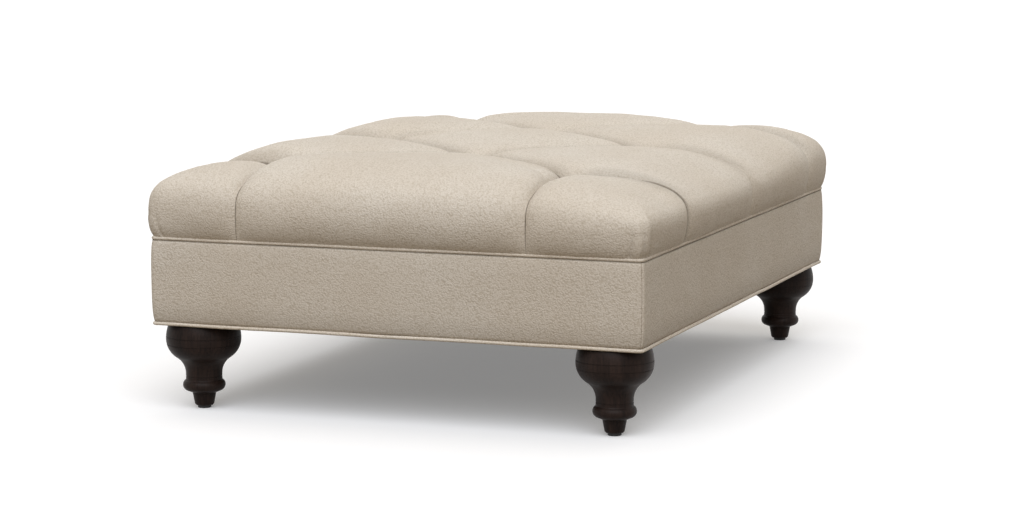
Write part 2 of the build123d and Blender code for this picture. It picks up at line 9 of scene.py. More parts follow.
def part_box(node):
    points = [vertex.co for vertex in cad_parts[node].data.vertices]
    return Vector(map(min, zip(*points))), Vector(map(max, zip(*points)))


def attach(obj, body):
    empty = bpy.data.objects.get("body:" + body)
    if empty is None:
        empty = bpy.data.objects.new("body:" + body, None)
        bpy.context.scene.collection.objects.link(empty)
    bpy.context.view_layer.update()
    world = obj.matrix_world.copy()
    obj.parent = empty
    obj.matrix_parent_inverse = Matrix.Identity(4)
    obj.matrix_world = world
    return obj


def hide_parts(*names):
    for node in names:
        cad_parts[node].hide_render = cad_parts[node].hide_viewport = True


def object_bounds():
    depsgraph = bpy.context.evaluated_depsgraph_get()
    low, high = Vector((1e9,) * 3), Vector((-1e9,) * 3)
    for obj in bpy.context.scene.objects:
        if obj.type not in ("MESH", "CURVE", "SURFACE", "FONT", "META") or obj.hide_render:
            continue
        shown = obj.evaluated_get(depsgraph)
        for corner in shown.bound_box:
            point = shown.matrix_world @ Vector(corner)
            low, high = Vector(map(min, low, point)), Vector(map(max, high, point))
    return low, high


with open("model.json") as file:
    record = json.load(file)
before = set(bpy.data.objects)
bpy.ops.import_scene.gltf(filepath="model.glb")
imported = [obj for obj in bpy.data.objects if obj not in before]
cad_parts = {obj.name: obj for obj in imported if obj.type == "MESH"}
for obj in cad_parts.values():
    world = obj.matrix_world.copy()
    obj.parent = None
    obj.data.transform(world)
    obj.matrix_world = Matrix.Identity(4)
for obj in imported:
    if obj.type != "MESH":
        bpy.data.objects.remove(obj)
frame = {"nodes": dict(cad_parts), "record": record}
cad_low, cad_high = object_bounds()


def rounded(values):
    """Sizes read from the frame's meshes, to a tenth of a millimetre."""
    return tuple(round(value, 4) for value in values)


def middle(node):
    """The middle of a node's box."""
    low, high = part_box(node)
    return rounded((low + high) / 2)


# Sizes of the object, in metres
half_width, half_length, _ = rounded(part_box("upper_welt")[1])
low_seam = middle("lower_welt")[2]
top_seam = middle("upper_welt")[2]
top_height = rounded(cad_high)[2]
welt_radius = 0.0031
corner_radius = 0.010
leather_thickness = 0.0015

# Tufts: two columns with a middle one between them, in rows half a step apart
tuft_names = [
    "front_left", "front_right", "front_middle", "middle_left", "middle_right", "back_middle",
    "back_left", "back_right",
]
tufts = {name: middle(f"tuft_button_{name}")[:2] for name in tuft_names}
tuft_middle = (tufts["front_middle"][0], tufts["middle_left"][1])
tuft_column = tuft_middle[0] - tufts["middle_left"][0]
tuft_half_row = tuft_middle[1] - tufts["front_middle"][1]
tuft_row = 2 * tuft_half_row


# Materials


class Wire:
    """A socket in a node tree, on which sums are written as they would be on numbers."""

    def __init__(self, nodes, socket):
        self.nodes, self.socket = nodes, socket

    def _math(self, operation, *values):
        return self.nodes.node("ShaderNodeMath", {"operation": operation}, dict(enumerate(values)))

    def __add__(self, other):
        return self._math("ADD", self, other)

    __radd__ = __add__

    def __sub__(self, other):
        return self._math("SUBTRACT", self, other)

    def __rsub__(self, other):
        return self._math("SUBTRACT", other, self)

    def __mul__(self, other):
        return self._math("MULTIPLY", self, other)

    __rmul__ = __mul__

    def __pow__(self, other):
        return self._math("POWER", self, other)

    def __abs__(self):
        return self._math("ABSOLUTE", self)

    def smaller(self, other):
        return self._math("MINIMUM", self, other)

    def larger(self, other):
        return self._math("MAXIMUM", self, other)


class Nodes:
    """A node tree under construction."""

    def __init__(self, tree):
        self.tree = tree

    def node(self, kind, settings=None, inputs=None, output=0):
        """Makes a node: its settings come first, then the values or wires of its sockets."""
        made = self.tree.nodes.new(kind)
        for name, value in (settings or {}).items():
            setattr(made, name, value)
        for name, value in (inputs or {}).items():
            if isinstance(value, Wire):
                self.tree.links.new(value.socket, made.inputs[name])
            else:
                made.inputs[name].default_value = value
        return Wire(self, made.outputs[output])

    def seen(self):
        """1 for the rays that show a thing itself: to the camera, in a reflection or through glass."""
        camera, glossy, through = (
            self.node("ShaderNodeLightPath", output=f"Is {kind} Ray")
            for kind in ("Camera", "Glossy", "Transmission")
        )
        return camera.larger(glossy).larger(through)


class Finish(Nodes):
    """A material under construction: one shader, with the nodes that feed it."""

    def __init__(self, name, **sockets):
        self.material = bpy.data.materials.new(name)
        self.material.use_nodes = True
        super().__init__(self.material.node_tree)
        self.shader = self.tree.nodes["Principled BSDF"]
        for socket, value in sockets.items():
            self.shader.inputs[socket.replace("_", " ")].default_value = value

    def feed(self, socket, wire):
        self.tree.links.new(wire.socket, self.shader.inputs[socket])

    def place(self):
        """The point on the object, in metres."""
        return self.node("ShaderNodeTexCoord", output="Object")

    def distance(self, axis):
        """How far along an axis the point on the object is."""
        return self.node("ShaderNodeSeparateXYZ", None, {"Vector": self.place()}, axis)

    def stretched(self, scale):
        """The point on the object with each axis scaled, for a grain that runs one way."""
        return self.node("ShaderNodeMapping", None, {"Vector": self.place(), "Scale": scale})

    def noise(self, scale, detail=2.0, roughness=0.5, where=None):
        inputs = {
            "Vector": where or self.place(), "Scale": scale, "Detail": detail, "Roughness": roughness,
        }
        return self.node("ShaderNodeTexNoise", None, inputs)

    def cells(self, scale, feature):
        inputs = {"Vector": self.place(), "Scale": scale}
        return self.node("ShaderNodeTexVoronoi", {"feature": feature}, inputs, "Distance")

    def ramp(self, fac, low, high):
        """0 below low, 1 above high, and smooth between them."""
        settings = {"interpolation_type": "SMOOTHSTEP"}
        inputs = {"Value": fac, "From Min": low, "From Max": high}
        return self.node("ShaderNodeMapRange", settings, inputs)

    def blend(self, fac, first, second):
        """From the first colour to the second. The node's colours are its sockets 6 and 7, and 2 out."""
        inputs = {0: fac, 6: first, 7: second}
        return self.node("ShaderNodeMix", {"data_type": "RGBA"}, inputs, 2)

    def bump(self, height, distance, strength, normal=None):
        inputs = {"Height": height, "Distance": distance, "Strength": strength}
        if normal:
            inputs["Normal"] = normal
        return self.node("ShaderNodeBump", None, inputs)


def colour(red, green, blue):
    """A colour as it is seen on a screen, from 0 to 255, as the shader's linear value."""
    return tuple(
        (c / 255 / 12.92) if c / 255 <= 0.04045 else ((c / 255 + 0.055) / 1.055) ** 2.4
        for c in (red, green, blue)
    ) + (1.0,)


def painted_pleat_shade(leather):
    """How much painted shade the leather gets: in a pleat's crease, in the dip over it and near the seam.

    The diamond pattern is folded onto one quarter of itself, with a middle tuft at its corner and a
    side tuft at the opposite one. The slanted pleat runs between them, and the others run on from the
    side tuft.
    """
    x, y, z = (leather.distance(axis) for axis in "XYZ")
    across = abs(x - tuft_middle[0])
    along = abs(abs(y - tuft_middle[1]) - tuft_half_row)
    diagonal = math.hypot(tuft_column, tuft_half_row)
    slanted = abs(across * (tuft_half_row / diagonal) - along * (tuft_column / diagonal))
    slanted = slanted.larger(across - tuft_column).larger(along - tuft_half_row)
    to_side = abs(along - tuft_half_row).larger(tuft_column - across)
    to_end = abs(across - tuft_column).larger(tuft_half_row - along)
    away = slanted.smaller(to_side * 0.6).smaller(to_end)
    from_middle_tuft = (across * across + along * along) ** 0.5
    across, along = across - tuft_column, along - tuft_half_row
    from_side_tuft = (across * across + along * along) ** 0.5
    gathered = 1.0 - leather.ramp(from_middle_tuft.smaller(from_side_tuft), 0.015, 0.120)

    # Where the pleats on the right lie open, and where those of the near corner are pressed shut
    opened = leather.ramp(x, 0.26, 0.32) * leather.ramp(y, -0.30, -0.05)
    pressed = leather.ramp(x, 0.36, 0.42) * (1.0 - leather.ramp(y, -0.34, -0.30))
    to_seam = 1.0 - leather.ramp(z, 0.310, 0.375)
    closed = (leather.ramp(leather.noise(9.0), 0.3, 0.6) * 0.4 + 0.6) * (1.0 - to_seam * 0.55)
    closed = closed + gathered * 0.5

    # Painted shade: a dark line in each crease, a soft shade in the dip over it, and a darker band near
    # the seam
    crease_width = gathered * 0.0044 + pressed * 0.0050 + 0.0016
    crease = 1.0 - leather.ramp(away, 0.0002, crease_width)
    dip_width = 0.034
    dip = (1.0 - leather.ramp(away, 0.0, dip_width)) * leather.ramp(z, 0.385, 0.415)
    dip = dip * (leather.ramp(y, -0.47, -0.37) * 0.75 + 0.25)
    return (crease * closed * (1.0 - opened * 0.8)).larger(dip * 0.30) + to_seam * 0.14


def painted_seam_shade(leather):
    """How much painted shade the band gets: where it tucks in under the upper welt, and above the lower.
    """
    height = leather.distance("Z")
    tuck_start, tuck_end, foot_height = 0.0058, 0.0040, 0.055
    # Painted shade: a dark line where the band tucks in, and a soft darkening towards the bottom of the
    # band
    tuck = leather.ramp(height, top_seam - tuck_start, top_seam - tuck_end)
    foot = 1.0 - leather.ramp(height, low_seam, low_seam + foot_height)
    return (tuck * 0.75).larger(foot * 0.20)


def leather_finish(name, tint=1.0, pebble=1.0, shade=None):
    """Pebbled putty leather: small raised pebbles with fine creases, soft mottling and a satin sheen."""
    leather = Finish(name, Specular_IOR_Level=0.09)
    large = leather.cells(370.0, "SMOOTH_F1")
    small = leather.cells(560.0, "F1")
    swell = leather.noise(150.0, 3.0)
    pebbles = large * 0.78 + small * 0.3 + swell * 0.08
    relief = leather.bump(1.0 - pebbles, 0.0016 * pebble, 0.8)
    pores = leather.noise(1100.0)
    relief = leather.bump(pores, 0.0002, 0.35, relief)
    wrinkle = leather.noise(11.0, 4.0, 0.6)
    relief = leather.bump(wrinkle, 0.004, 0.16, relief)
    leather.feed("Normal", relief)
    # The tint gives lighter or darker copies of the one leather, as painted light and shade for how the
    # light falls on each part
    base, deep, pale = (
        [c * tint for c in colour(*shown)[:3]] + [1.0]
        for shown in ((207, 197, 183), (168, 155, 134), (213, 205, 193))
    )
    mottle = leather.blend(leather.ramp(leather.noise(5.0), 0.3, 0.75), base, pale)
    hollows = leather.ramp(pebbles, 0.35, 0.8)
    grained = leather.blend(hollows * 0.5, mottle, deep)
    # Painted shade: the colour is blended towards a dark brown wherever the shade mask is set
    if shade:
        grained = leather.blend(shade(leather) * 0.8, grained, colour(84, 72, 56))
    leather.feed("Base Color", grained)
    leather.feed("Roughness", 0.44 + hollows * 0.16 + leather.noise(30.0) * 0.08)
    return leather.material


def stained_wood_finish():
    """Espresso stained wood under satin lacquer, with its grain up the turning."""
    wood = Finish("stained_wood_finish", Specular_IOR_Level=0.08, Coat_Roughness=0.3)
    upright = wood.stretched((1.0, 1.0, 0.07))
    grain = wood.noise(300.0, 5.0, 0.65, upright)
    figure = wood.noise(38.0, 3.0, 0.5, upright)
    dark, light = colour(22, 16, 14), colour(50, 38, 33)
    wood.feed("Base Color", wood.blend(wood.ramp(grain * 0.6 + figure * 0.5, 0.35, 0.8), dark, light))
    wood.feed("Roughness", 0.36 + grain * 0.16)
    wood.feed("Coat Weight", figure * 0.05)
    wood.feed("Normal", wood.bump(grain, 0.0003, 0.25))
    return wood.material


def plain_wood_finish(name, dark, light, scale):
    """Bare timber or plywood: long grain with darker streaks."""
    wood = Finish(name, Specular_IOR_Level=0.3)
    grain = wood.noise(scale, 5.0, 0.6, wood.stretched((0.08, 0.08, 1.0)))
    wood.feed("Base Color", wood.blend(wood.ramp(grain, 0.3, 0.7), dark, light))
    wood.feed("Roughness", 0.6 + grain * 0.2)
    wood.feed("Normal", wood.bump(grain, 0.0004, 0.4))
    return wood.material


def moulded_finish(name, shade):
    """Moulded plastic with a faint even texture."""
    plastic = Finish(name, Specular_IOR_Level=0.4)
    speck = plastic.noise(700.0)
    lighter = tuple(min(1.0, c * 1.3 + 0.004) for c in shade[:3]) + (1.0,)
    plastic.feed("Base Color", plastic.blend(speck, shade, lighter))
    plastic.feed("Roughness", 0.45 + speck * 0.12)
    plastic.feed("Normal", plastic.bump(speck, 0.0001, 0.3))
    return plastic.material


def steel_finish():
    """Zinc plated steel with a slight mottle."""
    steel = Finish("zinc_steel_finish", Metallic=1.0)
    cloud = steel.noise(220.0, 4.0)
    steel.feed("Base Color", steel.blend(cloud, colour(168, 168, 164), colour(206, 205, 200)))
    steel.feed("Roughness", 0.28 + cloud * 0.2)
    steel.feed("Normal", steel.bump(cloud, 0.0001, 0.3))
    return steel.material


def cloth_finish(name, shade, thread):
    """A thin cloth: crossing threads with loose fibres over them."""
    cloth = Finish(name, Specular_IOR_Level=0.2, Sheen_Weight=0.25, Sheen_Roughness=0.5)
    across, along = (
        cloth.node(
            "ShaderNodeTexWave", {"wave_type": "BANDS", "bands_direction": axis},
            {"Vector": cloth.place(), "Scale": thread, "Distortion": 1.5},
        )
        for axis in "XY"
    )
    weave = across.larger(along) * 0.7 + cloth.noise(500.0, 3.0) * 0.5
    lighter = tuple(min(1.0, c * 1.6 + 0.006) for c in shade[:3]) + (1.0,)
    cloth.feed("Base Color", cloth.blend(weave, shade, lighter))
    cloth.feed("Roughness", 0.75 + weave * 0.15)
    cloth.feed("Normal", cloth.bump(weave, 0.0003, 0.6))
    return cloth.material


# Meshes


def make_mesh(name, points, faces, finish):
    """One smooth-shaded piece that rides on the ottoman."""
    mesh = bpy.data.meshes.new(name)
    mesh.from_pydata([tuple(float(c) for c in point) for point in points], [], faces)
    mesh.polygons.foreach_set("use_smooth", [True] * len(mesh.polygons))
    mesh.materials.append(finish)
    piece = bpy.data.objects.new(name, mesh)
    bpy.context.scene.collection.objects.link(piece)
    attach(piece, "root")
    return piece


def grid_faces(rows, columns, closed_rows=False, closed_columns=False, start=0):
    """Quads between the points of a grid that are stored row by row."""
    faces = []
    for row in range(rows if closed_rows else rows - 1):
        above = (row + 1) % rows
        for column in range(columns if closed_columns else columns - 1):
            beside = (column + 1) % columns
            corners = (row, column), (row, beside), (above, beside), (above, column)
            faces.append(tuple(start + r * columns + c for r, c in corners))
    return faces


def sheet_faces(rows, columns, flipped=False):
    """Faces of a thin sheet with the points of its two skins stored in turn, and those of its edge."""
    count = rows * columns
    faces = grid_faces(rows, columns)
    faces += [face[::-1] for face in grid_faces(rows, columns, start=count)]
    border = [(0, c) for c in range(columns)] + [(r, columns - 1) for r in range(1, rows)]
    border += [(rows - 1, c) for c in range(columns - 2, -1, -1)]
    border += [(r, 0) for r in range(rows - 2, 0, -1)]
    border = [r * columns + c for r, c in border]
    for here, there in zip(border, border[1:] + border[:1]):
        faces.append((there, here, here + count, there + count))
    return [face[::-1] for face in faces] if flipped else faces


def smooth_line(points, count):
    """Points at even steps along a smooth line through the given ones, in any number of dimensions."""
    points = np.array(points, float)
    ends = np.vstack([2 * points[0] - points[1], points, 2 * points[-1] - points[-2]])
    line = []
    for before, start, end, after in zip(ends[:-3], ends[1:-2], ends[2:-1], ends[3:]):
        for t in np.linspace(0, 1, 40, endpoint=False):
            line.append(0.5 * (
                2 * start + (end - before) * t
                + (2 * before - 5 * start + 4 * end - after) * t**2
                + (3 * start - before - 3 * end + after) * t**3
            ))
    line = np.array(line + [points[-1]])
    reach = np.concatenate([[0], np.cumsum(np.linalg.norm(np.diff(line, axis=0), axis=1))])
    even = np.linspace(0, reach[-1], count)
    return np.stack([np.interp(even, reach, column) for column in line.T], axis=1)


def ripple(x, y, z, size, seed):
    """Smooth noise from -1 to 1, with waves of about that size."""
    return noise.noise(Vector((x / size + seed * 7.3, y / size - seed * 3.1, z / size + seed)))


# Outline of the base: the direction along each side, and the one outward from it. Each side runs between
# the middles of its two rounded corners.

sides = {
    "front": ((1, 0), (0, -1)),
    "right": ((0, 1), (1, 0)),
    "back": ((-1, 0), (0, 1)),
    "left": ((0, -1), (-1, 0)),
}


def side_line(side, stand_out, spacing=0.006):
    """Places along one side, with the outward direction at each, that far outside the welts."""
    along, outward = np.array(sides[side], float)
    half, reach = (half_width, half_length) if along[1] == 0 else (half_length, half_width)
    steps, corner_steps = int(round(2 * half / spacing)), 8
    half, reach, radius = half + stand_out, reach + stand_out, corner_radius + stand_out
    turn = np.linspace(-math.pi / 4, 0, corner_steps + 1)[:-1]
    turns = np.concatenate([turn, np.zeros(steps + 1), -turn[::-1]])
    straight = np.linspace(radius - half, half - radius, steps + 1)
    start, end = np.full(corner_steps, radius - half), np.full(corner_steps, half - radius)
    s = np.concatenate([start, straight, end]) + radius * np.sin(turns)
    o = reach - radius + radius * np.cos(turns)
    places = s[:, None] * along + o[:, None] * outward
    directions = np.sin(turns)[:, None] * along + np.cos(turns)[:, None] * outward
    return places, directions


def welt(name, node, height, waviness, finish):
    """The leather-covered cord that runs all round the base, never quite straight."""
    around = 14
    points = []
    for side in sides:
        places, directions = side_line(side, -welt_radius, spacing=0.004)
        for (x, y), (ox, oy) in zip(places[:-1], directions[:-1]):
            lift = waviness * ripple(x, y, 0, 0.16, 2) + 0.3 * waviness * ripple(x, y, 0, 0.05, 3)
            push = 0.7 * waviness * ripple(x, y, 0, 0.12, 4)
            radius = welt_radius * (1 + 0.06 * ripple(x, y, 0, 0.02, 5))
            for step in range(around):
                turn = 2 * math.pi * step / around
                out = push + radius * math.cos(turn)
                points.append((x + ox * out, y + oy * out, height + lift + radius * math.sin(turn)))
    faces = grid_faces(len(points) // around, around, closed_rows=True, closed_columns=True)
    piece = make_mesh(name, points, faces, finish)
    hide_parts(node)


# Band: how far its leather stands outside the welts at each height

band_outline = [
    (-0.0034, 0.1614),
    (-0.0016, 0.1680),
    (0.0005, 0.1860),
    (0.0017, 0.2150),
    (0.0020, 0.2450),
    (0.0016, 0.2750),
    (0.0004, 0.2960),
    (-0.0016, 0.3078),
]
band_foot, band_head = band_outline[0][1], band_outline[-1][1]


def band_panel(side, finish):
    """One padded leather strip, with soft waves and a pinched seam at each end."""
    rows = 30
    pinch_depth, pinch_reach = 0.0013, 8 / 7  # in metres, and in points of the line
    points = []
    for depth in (0.0, leather_thickness):
        for stand_out, height in smooth_line(band_outline, rows):
            places, directions = side_line(side, stand_out - depth)
            share = (height - band_foot) / (band_head - band_foot)
            window = math.sin(math.pi * share) ** 0.6 if 0 < share < 1 else 0.0
            for index, ((x, y), (ox, oy)) in enumerate(zip(places, directions)):
                from_seam = min(index, len(places) - 1 - index)
                pinch = pinch_depth * math.exp(-((from_seam / pinch_reach) ** 2))
                wave = 0.0011 * ripple(x, y, height * 0.5, 0.21, 8)
                wave += 0.0005 * ripple(x, y, height, 0.07, 9)
                out = window * wave - pinch
                points.append((x + ox * out, y + oy * out, height))
    faces = sheet_faces(rows, len(points) // (2 * rows))
    piece = make_mesh(f"band_leather_{side}", points, faces, finish)
    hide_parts(f"band_panel_{side}", "band_padding")


# Tufted cushion. Its skin is one grid of lines, laid so that every pleat runs along them or along the
# diagonals of their squares. Each row over the rolled side gives two places: the floor of a pleat, and
# the skin half way between two pleats, both as (in from the seam, height).

seam_inset = 0.0016
roll_reach = 0.140
pleat_floor = 0.4260
hump_top = 0.4690
side_steps = 56
side_rows = [
    (0.0000, 0.3125, 0.0000, 0.3125),
    (-0.0025, 0.3230, -0.0070, 0.3215),
    (-0.0038, 0.3350, -0.0128, 0.3350),
    (-0.0044, 0.3500, -0.0166, 0.3520),
    (-0.0036, 0.3680, -0.0172, 0.3700),
    (-0.0002, 0.3850, -0.0134, 0.3890),
    (0.0100, 0.3990, -0.0030, 0.4080),
    (0.0270, 0.4110, 0.0140, 0.4245),
    (0.0500, 0.4190, 0.0390, 0.4400),
    (0.0800, 0.4240, 0.0710, 0.4540),
    (0.1100, 0.4260, 0.1050, 0.4640),
    (roll_reach, pleat_floor, roll_reach, hump_top),
]
seam_x, seam_y = half_width - seam_inset, half_length - seam_inset

# How round the skin's corners are, by how far in from the seam they are, and near the seam by height
corner_insets, corner_radii = [-0.006, 0.0, 0.03, 0.08, 0.14], [0.030, 0.026, 0.050, 0.070, 0.080]
foot_heights, foot_radii = [0.312, 0.35], [0.016, 0.026]

# The leather rises steeply beside a pleat for part of its height, and slowly for the rest. On the sides
# it stands out less near an upright corner.
steep_share, steep_reach = 0.38, 0.007
slow_reach, slow_power = 0.050, 1.2
corner_pull, corner_reach, corner_top = 0.5, 0.09, 0.42

# What pulls the leather down: the cut of a pleat, the slump of the humps at the right, and each tuft
# with the wider dish round it
cut_depth, cut_reach = 0.0055, 0.003
slump_depth = 0.018
tuft_depth, tuft_reach = 0.029, 0.032
dish_depth, dish_reach = 0.008, 0.070

# Wrinkles that run from the tufts into the humps, from where they are deepest: start, end and depth.
# Each fades out a little past its end.
wrinkle_width, wrinkle_power, wrinkle_run = 0.009, 1.3, 1.15
wrinkles = [
    ((0.243, -0.500), (0.075, -0.320), 0.0045),
    ((-0.262, -0.430), (-0.190, -0.510), 0.0020),
    ((-0.262, 0.010), (-0.200, -0.070), 0.0022),
    ((0.225, 0.090), (0.150, 0.170), 0.0022),
    ((0.270, -0.340), (0.340, -0.270), 0.0022),
    ((0.010, -0.140), (0.080, -0.080), 0.0020),
    ((-0.045, 0.290), (-0.120, 0.360), 0.0022),
    ((0.275, 0.500), (0.350, 0.540), 0.0020),
]

# Gathers round the foot of each corner, by how far they are from it
darts = (-0.026, 0.003, 0.030)
dart_width, dart_depth = 0.0028, 0.0026
dart_top, dart_fade = 0.372, 0.025

skin_steps = 56
column_step = tuft_column / skin_steps
row_step = tuft_half_row / skin_steps

# Pleats run from each middle tuft to the four round it, and from the outer tufts to the seam
round_middle = {
    "front_middle": ("front_left", "front_right", "middle_left", "middle_right"),
    "back_middle": ("middle_left", "middle_right", "back_left", "back_right"),
}
next_to_side = {
    "left": ("front_left", "middle_left", "back_left"),
    "right": ("front_right", "middle_right", "back_right"),
    "front": ("front_left", "front_right"),
    "back": ("back_left", "back_right"),
}
pleat_lines = [(tufts[outer], tufts[middle]) for middle, ring in round_middle.items() for outer in ring]
for side, names in next_to_side.items():
    outward = sides[side][1]
    for tuft_x, tuft_y in (tufts[name] for name in names):
        pleat_lines.append(((tuft_x, tuft_y), (tuft_x + outward[0], tuft_y + outward[1])))


def to_line(x, y, line):
    """How far places are from a line between two points."""
    (ax, ay), (bx, by) = line
    length = (bx - ax) ** 2 + (by - ay) ** 2
    share = np.clip(((x - ax) * (bx - ax) + (y - ay) * (by - ay)) / length, 0, 1)
    return np.hypot(x - ax - share * (bx - ax), y - ay - share * (by - ay))


def corner_place(x_in, y_in, x_out, y_out, radius, a, b, m):
    """A place on a ring round the corner of the cushion: a and b count its lines, and m is the ring."""
    radius = np.minimum(radius, np.minimum(x_out - x_in, y_out - y_in))
    upright = a >= b
    share = np.where(upright, b, a) / np.maximum(m, 1)
    straight = np.where(upright, y_out - y_in, x_out - x_in) - radius
    reach = share * (straight + radius * math.pi / 4)
    turn = np.clip((reach - straight) / np.maximum(radius, 1e-9), 0, None)
    near = np.minimum(reach, straight)
    lead = radius * np.sin(turn) + near
    fall = radius * (1 - np.cos(turn))
    x = np.where(upright, x_out - fall, x_in + lead)
    y = np.where(upright, y_in + lead, y_out - fall)
    return x, y


def hump_height(x, y):
    """How much of its full height a hump reaches there.

    The humps are lower towards the front and the right, those at the left slope down towards the back,
    and the two front corners are the lowest.
    """
    mx, my = tuft_middle
    share = np.interp(y, [-0.62, -0.35, -0.15, 0.05, 0.2], [0.62, 0.62, 0.66, 0.84, 0.92])
    share = 1 - (1 - share) * np.interp(x, [-0.42, -0.22, -0.08], [0.25, 0.7, 1.0])
    share = share * np.interp(x, [0.1, 0.3], [1.0, 0.85])

    # How far along its own length a place on a left hump is, and the slope there
    along = ((y - my) / tuft_row) % 1
    tilt = np.interp(along, [0, 0.4, 1], [0.2, 0.0, -0.28]) * (abs(y - my) < tuft_row)
    share = share * (1 + tilt * np.interp(x, [-0.3, -0.1], [1.0, 0.0]))

    at_front = my - y > tuft_row
    left_corner = at_front & (mx - x > tuft_column)
    right_corner = at_front & (x - mx > tuft_column)
    share = np.where(left_corner, np.interp(x, [-0.45, -0.29], [0.62, 0.2]), share)
    return np.where(right_corner, 0.30, share)


def skin_grid():
    """The skin's lines, counted from the middle tuft of the pattern, and its two places at each.

    The first place is on the floor of a pleat and the second is half way between two. Each is its x, y
    and height, with how far in from the seam it is. The count m is 0 on the top and grows down the
    sides.
    """
    mx, my = tuft_middle
    left = math.floor((seam_x - roll_reach + mx) / column_step)
    right = math.floor((seam_x - roll_reach - mx) / column_step)
    front = math.floor((seam_y - roll_reach + my) / row_step)
    back = math.floor((seam_y - roll_reach - my) / row_step)
    rows = smooth_line(side_rows, side_steps + 1)[::-1]
    i = np.arange(-left - side_steps, right + side_steps + 1)
    j = np.arange(-front - side_steps, back + side_steps + 1)
    i, j = np.meshgrid(i, j, indexing="ij")
    east, north = i > 0, j > 0
    a = np.maximum(np.where(east, i - right, -i - left), 0)
    b = np.maximum(np.where(north, j - back, -j - front), 0)
    m = np.maximum(a, b)
    x_in = np.where(east, mx + right * column_step, left * column_step - mx)
    y_in = np.where(north, my + back * row_step, front * row_step - my)
    x_flat, y_flat = mx + i * column_step, my + j * row_step
    places = []
    for inset_column, height_column, height_on_top in ((0, 1, pleat_floor), (2, 3, hump_top)):
        inset, height = rows[m, inset_column], rows[m, height_column]
        x_out = seam_x - np.where(inset > 0, inset * (seam_x - x_in) / roll_reach, inset)
        y_out = seam_y - np.where(inset > 0, inset * (seam_y - y_in) / roll_reach, inset)
        radius = np.interp(inset, corner_insets, corner_radii)
        radius = np.where(height < foot_heights[1], np.interp(height, foot_heights, foot_radii), radius)
        x, y = corner_place(x_in, y_in, x_out, y_out, radius, a, b, m)
        x = np.where(b == 0, x_out, np.where(a == 0, 0, x)) * np.where(east, 1, -1)
        y = np.where(a == 0, y_out, np.where(b == 0, 0, y)) * np.where(north, 1, -1)
        x, y = np.where(a == 0, x_flat, x), np.where(b == 0, y_flat, y)
        places.append((x, y, np.where(m == 0, height_on_top, height), inset))
    return i, j, m, places


def cushion_skin():
    """The skin's lines, its places, how far each is from its nearest pleat, and which are on one."""
    i, j, m, ((px, py, pz, inset), (hx, hy, hz, _)) = skin_grid()
    distances = np.array([to_line(hx, hy, line) for line in pleat_lines])
    on_pleat = distances.min(axis=0) < 1e-5
    near = (np.maximum(distances, 1e-6) ** -4.0).sum(axis=0) ** -0.25

    # How far the filling swells the skin from the pleats' floor towards the humps
    spread = np.interp(inset, [-0.003, 0.02, 0.06, 0.13], [0.030, 0.042, 0.046, slow_reach])
    spread = np.where(m == 0, slow_reach, spread) * np.interp(hy, [-0.45, -0.33], [0.72, 1.0])
    swell = steep_share * (1 - np.exp(-near / steep_reach))
    swell += (1 - steep_share) * (1 - np.exp(-((near / spread) ** slow_power)))
    from_corner = np.hypot(seam_x - np.abs(hx), seam_y - np.abs(hy))
    pull = corner_pull * np.exp(-((from_corner / corner_reach) ** 2)) * (pz < corner_top)
    bulge = swell * (1 - pull)
    upper = np.interp(hz, [0.385, 0.400, 0.420, 0.435], [0.0, 0.22, 0.78, 1.0])
    lift = swell * (1 - (1 - hump_height(hx, hy)) * upper)
    x, y, z = px + bulge * (hx - px), py + bulge * (hy - py), pz + lift * (hz - pz)

    slump = np.interp(hx, [0.28, 0.43], [0.0, 1.0]) * np.interp(hy, [0.10, 0.45], [1.0, 0.0])
    z = z - slump_depth * swell * slump * np.interp(pz, [0.35, 0.40], [0.0, 1.0])
    z = z - np.interp(inset, [0.0, 0.03], [0.0, cut_depth]) * np.exp(-near / cut_reach)
    for start, end, depth in wrinkles:
        away = to_line(x, y, (start, end))
        run = np.hypot(x - start[0], y - start[1]) / math.dist(start, end)
        fade = np.clip(wrinkle_run - run, 0, 1)
        z = z - depth * np.exp(-((away / wrinkle_width) ** wrinkle_power)) * fade
    for tuft_x, tuft_y in tufts.values():
        away = np.hypot(x - tuft_x, y - tuft_y)
        z = z - tuft_depth * np.exp(-((away / tuft_reach) ** 2)) - dish_depth * np.exp(-away / dish_reach)
    return i, j, m, x, y, np.minimum(z, top_height), near, on_pleat


def corner_dart(x, y, z):
    """How deep the leather is pinched there where it is gathered round the foot of a corner."""
    if z > dart_top:
        return 0.0
    from_corner = (half_length - abs(y)) - (half_width - abs(x))
    pinch = sum(math.exp(-(((from_corner - dart) / dart_width) ** 2)) for dart in darts)
    return dart_depth * pinch * min(1.0, (dart_top - z) / dart_fade)


def skin_faces(i, j):
    """The squares between the skin's lines, and one face that closes it below.

    Squares within the diamonds of the tufts are cut in two along the slant of the pleats there.
    """
    rows, columns = i.shape
    index = np.arange(rows * columns).reshape(rows, columns)
    faces = []
    for r in range(rows - 1):
        for c in range(columns - 1):
            quad = (index[r, c], index[r + 1, c], index[r + 1, c + 1], index[r, c + 1])
            first, second, third, fourth = (int(q) for q in quad)
            block, half = math.floor(i[r, c] / skin_steps), math.floor(j[r, c] / skin_steps)
            if block not in (-1, 0) or half not in (-2, -1, 0, 1):
                faces.append((first, second, third, fourth))
            elif (block + half) % 2:
                faces += [(first, second, third), (first, third, fourth)]
            else:
                faces += [(first, second, fourth), (second, third, fourth)]
    rim = list(index[:, 0]) + list(index[-1, 1:]) + list(index[-2::-1, -1]) + list(index[0, -2:0:-1])
    return faces + [tuple(int(q) for q in rim[::-1])]


